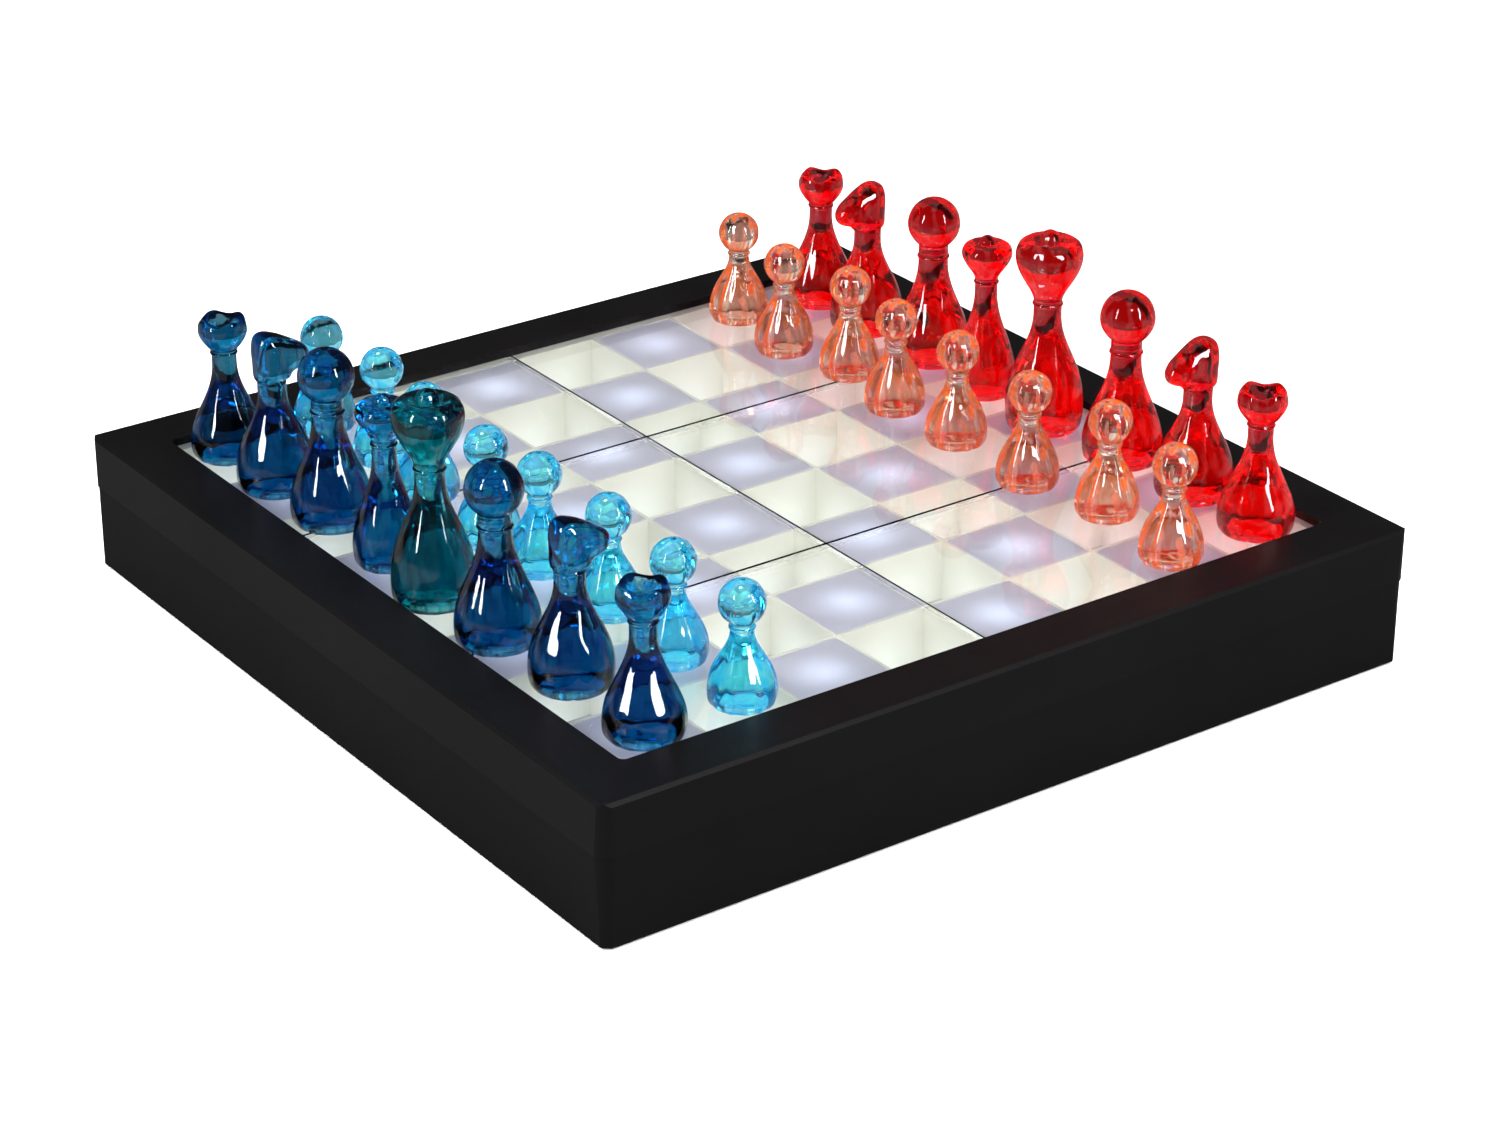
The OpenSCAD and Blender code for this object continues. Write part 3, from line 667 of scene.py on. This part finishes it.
DYES = {
    "navy": Dye(10 * MM, (0.85, 0.95, 1.0), (0.05, 0.18, 0.34), 0.7 * MM, 0.25, 0.0),
    "teal": Dye(11 * MM, (0.85, 1.0, 1.0), (0.04, 0.26, 0.28), 0.6 * MM, 0.25, 0.0),
    "cyan": Dye(9 * MM, (0.80, 0.97, 1.0), (0.08, 0.62, 0.98), 0.7 * MM, 0.3, 0.12),
    "ruby": Dye(10 * MM, (1.0, 0.6, 0.6), (1.0, 0.05, 0.06), 0.6 * MM, 0.25, 0.08),
    "blush": Dye(9 * MM, (0.92, 0.93, 0.90), (0.88, 0.15, 0.03), 0.8 * MM, 0.42, 0.32),
}


def dye_material(settings, name):
    made = bpy.data.materials.get(f"{name} acrylic")
    return made or dyed_acrylic(f"{name} acrylic", tuple(getattr(settings, name)), DYES[name])


def stand_in_for(node, mesh_name, build, centre):
    """A finished piece standing where the CAD node stands, sharing one mesh with its like"""
    mesh = bpy.data.meshes.get(mesh_name)
    if mesh is None:
        first = build()
        mesh = first.data
        mesh.name = mesh_name
        bpy.data.objects.remove(first)
    made = bpy.data.objects.new(f"{node}_turned", mesh)
    bpy.context.scene.collection.objects.link(made)
    made.location = centre
    if node.startswith("red"):
        made.rotation_euler = (0, 0, math.pi)
    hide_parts(node)
    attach(made, f"{node}_piece")
    return made


def settings_of(context):
    scene = context.scene
    return scene.chess_shell, scene.chess_board, scene.chess_pieces, scene.chess_stage


# ---------------------------------------------------------------- operators

class CHESS_OT_shells(bpy.types.Operator):
    """Black housing, battery door and feet"""
    bl_idname = "chess.shells"
    bl_label = "Shells"

    def execute(self, context):
        shell = settings_of(context)[0]
        rgb = tuple(shell.plastic)
        # The rim's copy is painted 1.3 times lighter than the tray's: painted light, for its walls that lean
        # up towards the lights
        upper = grained_plastic("rim plastic", rgb, shell.grain, 0.40, 1.3)
        lower = grained_plastic("tray plastic", rgb, shell.grain, 0.5)
        dress("upper_shell", upper, shell.edge_round, 3)
        dress("lower_shell", lower, shell.edge_round * 0.5)
        dress("battery_door", lower, shell.edge_round * 0.5)
        dress("rubber_feet", grained_plastic("foot rubber", (0.02, 0.02, 0.021), 0.6 * MM, 0.8), 0.3 * MM)
        return {"FINISHED"}


class CHESS_OT_plates(bpy.types.Operator):
    """Six clear plates with bevelled edges"""
    bl_idname = "chess.plates"
    bl_label = "Clear plates"

    def execute(self, context):
        board = settings_of(context)[1]
        sheet = clear_acrylic("clear plate", tuple(board.acrylic))
        for name in PLATES:
            dress(name, sheet, board.plate_bevel, 1)
        return {"FINISHED"}


class CHESS_OT_cells(bpy.types.Operator):
    """Grid of light cells and the frosted tiles over half of them"""
    bl_idname = "chess.cells"
    bl_label = "Light cells"

    def execute(self, context):
        board = settings_of(context)[1]
        ivory = Shader("cell ivory", Roughness=0.6, Specular_IOR_Level=0.3)
        mottle = ivory.noise(60, 3)
        ivory.join(ivory.ramp(mottle, scaled(board.cell, 0.97), scaled(board.cell, 1.04)),
                   ivory.principled.inputs["Base Color"])
        tints = (tuple(board.light), tuple(board.warm_lamp_and_painted_cast))
        light_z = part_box("light_grid")[0][2]
        # The grid walls get a painted glow, brightest near the lamp at the bottom of each cell
        ivory.emit_painted_glow(ivory.painted_glow(light_z, WALL_PAINTED_GLOW.fade_from, WALL_PAINTED_GLOW.fade_to), WALL_PAINTED_GLOW, *tints)
        dress("light_grid", ivory.material)
        low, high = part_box("frosted_tiles")
        vertices, faces = [], []
        for file in range(8):
            for rank in range(8):
                if (file + rank) % 2 == 0:
                    continue
                centre = Vector(((file - 3.5) * SQUARE, (rank - 3.5) * SQUARE, 0))
                more, panels = frosted_square(low[2], high[2], board.tile_round, centre)
                faces += [tuple(i + len(vertices) for i in panel) for panel in panels]
                vertices += more
        frosting = frosted_acrylic("frosted tile", tuple(board.frost), *tints)
        tiles = add_mesh("frosted_squares", vertices, faces, frosting, smooth=False)
        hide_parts("frosted_tiles")
        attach(tiles, "housing")
        return {"FINISHED"}


class CHESS_OT_lights(bpy.types.Operator):
    """One light in every cell, in the colour of its side of the board"""
    bl_idname = "chess.lights"
    bl_label = "Lights"

    def execute(self, context):
        board = settings_of(context)[1]
        dress("leds", lit_lenses("lit lenses", tuple(board.light), tuple(board.warm_lamp_and_painted_cast), board.brightness))
        return {"FINISHED"}


class CHESS_OT_circuits(bpy.types.Operator):
    """Circuit boards, chips, sensors and sounder"""
    bl_idname = "chess.circuits"
    bl_label = "Circuits"

    def execute(self, context):
        green = solder_mask("green solder mask", (0.012, 0.075, 0.04), (0.016, 0.10, 0.05),
                            (0.03, 0.15, 0.08))
        white = solder_mask("white solder mask", (0.60, 0.62, 0.59), (0.64, 0.65, 0.63),
                            (0.52, 0.54, 0.52))
        chip = grained_plastic("chip", (0.02, 0.02, 0.022), 0.2 * MM, 0.5)
        dress("led_board", white)
        dress("control_board", green)
        for name in ("square_sensors", "processor_chip", "driver_chips", "sounder", "key_switches"):
            dress(name, chip)
        return {"FINISHED"}


class CHESS_OT_battery(bpy.types.Operator):
    """Battery cells, contacts and leads"""
    bl_idname = "chess.battery"
    bl_label = "Battery"

    def execute(self, context):
        sleeve = Shader("battery sleeve", Roughness=0.3, Coat_Weight=0.5)
        bands = sleeve.noise(35, 1)
        sleeve.join(sleeve.ramp(bands, (0.40, 0.20, 0.04), (0.55, 0.32, 0.09)),
                    sleeve.principled.inputs["Base Color"])
        nickel = plain_metal("nickel", (0.72, 0.71, 0.68), 0.25)
        dress("battery_cells", sleeve.material, 0.4 * MM)
        dress("battery_contacts", nickel)
        dress("switch_body", nickel, 0.3 * MM)
        dress("battery_leads", grained_plastic("lead", (0.42, 0.02, 0.015), 0.5 * MM, 0.4))
        return {"FINISHED"}


class CHESS_OT_controls(bpy.types.Operator):
    """Power slider, keys and shell screws"""
    bl_idname = "chess.controls"
    bl_label = "Controls"

    def execute(self, context):
        key = grained_plastic("key plastic", (0.03, 0.03, 0.032), 0.3 * MM, 0.4)
        for name in ("power_slider", "new_game_key", "level_key"):
            dress(name, key, 0.25 * MM)
        dress("shell_screws", plain_metal("zinc", (0.5, 0.5, 0.52), 0.35), 0.2 * MM)
        return {"FINISHED"}


class CHESS_OT_turned_pieces(bpy.types.Operator):
    """Pawns, rooks, bishops, queens and kings, turned from one outline each"""
    bl_idname = "chess.turned_pieces"
    bl_label = "Turned pieces"

    def execute(self, context):
        pieces = settings_of(context)[2]
        for side in ("blue", "red"):
            for kind, outline_of in OUTLINES.items():
                dye = dye_of(kind, side)
                material = dye_material(pieces, dye)
                for node in piece_nodes(kind, side):
                    low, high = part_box(node)
                    height = (high[2] - low[2]) / MM

                    def build():
                        outline = hollow_outline(kind) + outline_of(height, pieces.steps)
                        wave = rook_wave(height) if kind == "rook" else None
                        depth = FLUTE_DEPTH["pawn" if kind == "pawn" else "officer"]
                        vertices, faces = turned_mesh(outline, pieces.sides, wave, depth)
                        return add_mesh(kind, vertices, faces, material)

                    centre = ((low[0] + high[0]) / 2, (low[1] + high[1]) / 2, low[2])
                    stand_in_for(node, f"{side}_{kind}_turned", build, centre)
        return {"FINISHED"}


class CHESS_OT_knights(bpy.types.Operator):
    """Knights: a turned body with a horse's head carved on its neck"""
    bl_idname = "chess.knights"
    bl_label = "Knights"

    def execute(self, context):
        pieces = settings_of(context)[2]
        for side in ("blue", "red"):
            dye = dye_of("knight", side)
            material = dye_material(pieces, dye)
            for node in piece_nodes("knight", side):
                low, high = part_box(node)
                height = (high[2] - low[2]) / MM

                def build():
                    return knight_piece(height, pieces.steps, pieces.sides, material)

                across = (low[0] + high[0]) / 2
                belly_r = KNIGHT_BELLY_R * MM
                along = high[1] - belly_r if side == "red" else low[1] + belly_r
                stand_in_for(node, f"{side}_knight_carved", build, (across, along, low[2]))
        return {"FINISHED"}


FLOOR_REACH = 2.2
CEILING_SIDE = 3.5
CEILING_HEIGHT = 2.6
SOFTBOX_DISTANCE = 1.6
SOFTBOX_TALLNESS = 3
SOFTBOX_AIM = Vector((0, 0, 0.06))
SOFTBOXES = (("left_softbox", Vector((0.064, -0.889, 0.453))),
             ("right_softbox", Vector((0.873, 0.138, 0.469))))
CAMERA_LENS = 94.13
CAMERA_PLACE = Vector((1.07007, -0.76047, 0.66354))
CAMERA_AXES = (Vector((0.58228, 0.81299, 0.00186)), Vector((-0.35866, 0.25483, 0.89801)),
               Vector((0.72960, -0.52356, 0.43997)))


def lay_floor(stage):
    """Pale floor that throws little light back at the object"""
    shader = Shader("floor", Roughness=0.9, Specular_IOR_Level=0.0)
    seen = shader.node("ShaderNodeLightPath").outputs["Is Camera Ray"]
    shader.join(shader.ramp(seen, tuple(stage.floor_bounce), tuple(stage.floor), 0.0, 1.0),
                shader.principled.inputs["Base Color"])
    corners = [(x * FLOOR_REACH, y * FLOOR_REACH, 0) for x, y in ((-1, -1), (1, -1), (1, 1), (-1, 1))]
    floor = add_mesh("floor", corners, [(0, 1, 2, 3)], shader.material, smooth=False)


def surround(scene, stage):
    """White surroundings, dim to everything but the camera and what is seen through clear pieces"""
    world = bpy.data.worlds.new("surroundings")
    scene.world = world
    world.use_nodes = True
    tree = world.node_tree
    back = tree.nodes["Background"]
    back.inputs["Color"].default_value = (1, 1, 1, 1)
    rays = tree.nodes.new("ShaderNodeLightPath")
    strength = None
    for kind, wanted in (("Is Transmission Ray", stage.sky_through), ("Is Camera Ray", 1.0)):
        part = tree.nodes.new("ShaderNodeMath")
        part.operation = "MULTIPLY_ADD"
        tree.links.new(rays.outputs[kind], part.inputs[0])
        part.inputs[1].default_value = wanted - stage.sky
        if strength:
            tree.links.new(strength, part.inputs[2])
        else:
            part.inputs[2].default_value = stage.sky
        strength = part.outputs["Value"]
    tree.links.new(strength, back.inputs["Strength"])


def hang_light(scene, name, power, width, height):
    """Rectangular area light, not yet placed"""
    lamp = bpy.data.lights.new(name, "AREA")
    lamp.shape = "RECTANGLE"
    lamp.size = width
    lamp.size_y = height
    lamp.energy = power
    holder = bpy.data.objects.new(name, lamp)
    scene.collection.objects.link(holder)
    return holder


class CHESS_OT_stage(bpy.types.Operator):
    """Pale floor, soft light and the camera"""
    bl_idname = "chess.stage"
    bl_label = "Stage"

    def execute(self, context):
        scene = context.scene
        stage = settings_of(context)[3]
        lay_floor(stage)
        surround(scene, stage)
        ceiling = hang_light(scene, "ceiling", stage.ceiling, CEILING_SIDE, CEILING_SIDE)
        ceiling.location = (0, 0, CEILING_HEIGHT)
        ceiling.visible_glossy = False
        ceiling.visible_transmission = False
        for name, direction in SOFTBOXES:
            box = hang_light(scene, name, stage.key, stage.key_side, stage.key_side * SOFTBOX_TALLNESS)
            box.location = direction * SOFTBOX_DISTANCE + SOFTBOX_AIM
            box.rotation_euler = direction.to_track_quat("Z", "Y").to_euler()
        camera = bpy.data.cameras.new("camera")
        camera.sensor_width = 36
        camera.lens = CAMERA_LENS
        camera.clip_start = 0.01
        camera.clip_end = 50
        eye = bpy.data.objects.new("camera", camera)
        scene.collection.objects.link(eye)
        eye.matrix_world = Matrix.Translation(CAMERA_PLACE) @ Matrix(CAMERA_AXES).transposed().to_4x4()
        scene.camera = eye
        scene.view_settings.view_transform = "Standard"
        return {"FINISHED"}


OPERATORS = (CHESS_OT_shells, CHESS_OT_plates, CHESS_OT_cells, CHESS_OT_lights, CHESS_OT_circuits,
             CHESS_OT_battery, CHESS_OT_controls, CHESS_OT_turned_pieces, CHESS_OT_knights, CHESS_OT_stage)


class CHESS_PT_panel(bpy.types.Panel):
    """Makers of the chess computer's looks"""
    bl_idname = "CHESS_PT_panel"
    bl_label = "Chess Computer"
    bl_space_type = "VIEW_3D"
    bl_region_type = "UI"
    bl_category = "Chess"

    def draw(self, context):
        for operator in OPERATORS:
            self.layout.operator(operator.bl_idname)


SETTINGS = (("chess_shell", ChessShellSettings), ("chess_board", ChessBoardSettings),
            ("chess_pieces", ChessPieceSettings), ("chess_stage", ChessStageSettings))


def register():
    for name, group in SETTINGS:
        bpy.utils.register_class(group)
        setattr(bpy.types.Scene, name, PointerProperty(type=group))
    for made in (*OPERATORS, CHESS_PT_panel):
        bpy.utils.register_class(made)


def unregister():
    for made in reversed((*OPERATORS, CHESS_PT_panel)):
        bpy.utils.unregister_class(made)
    for name, group in reversed(SETTINGS):
        delattr(bpy.types.Scene, name)
        bpy.utils.unregister_class(group)


def main():
    register()
    for operator in OPERATORS:
        group, name = operator.bl_idname.split(".")
        getattr(getattr(bpy.ops, group), name)()
    bpy.context.view_layer.update()


if __name__ == "__main__":
    main()
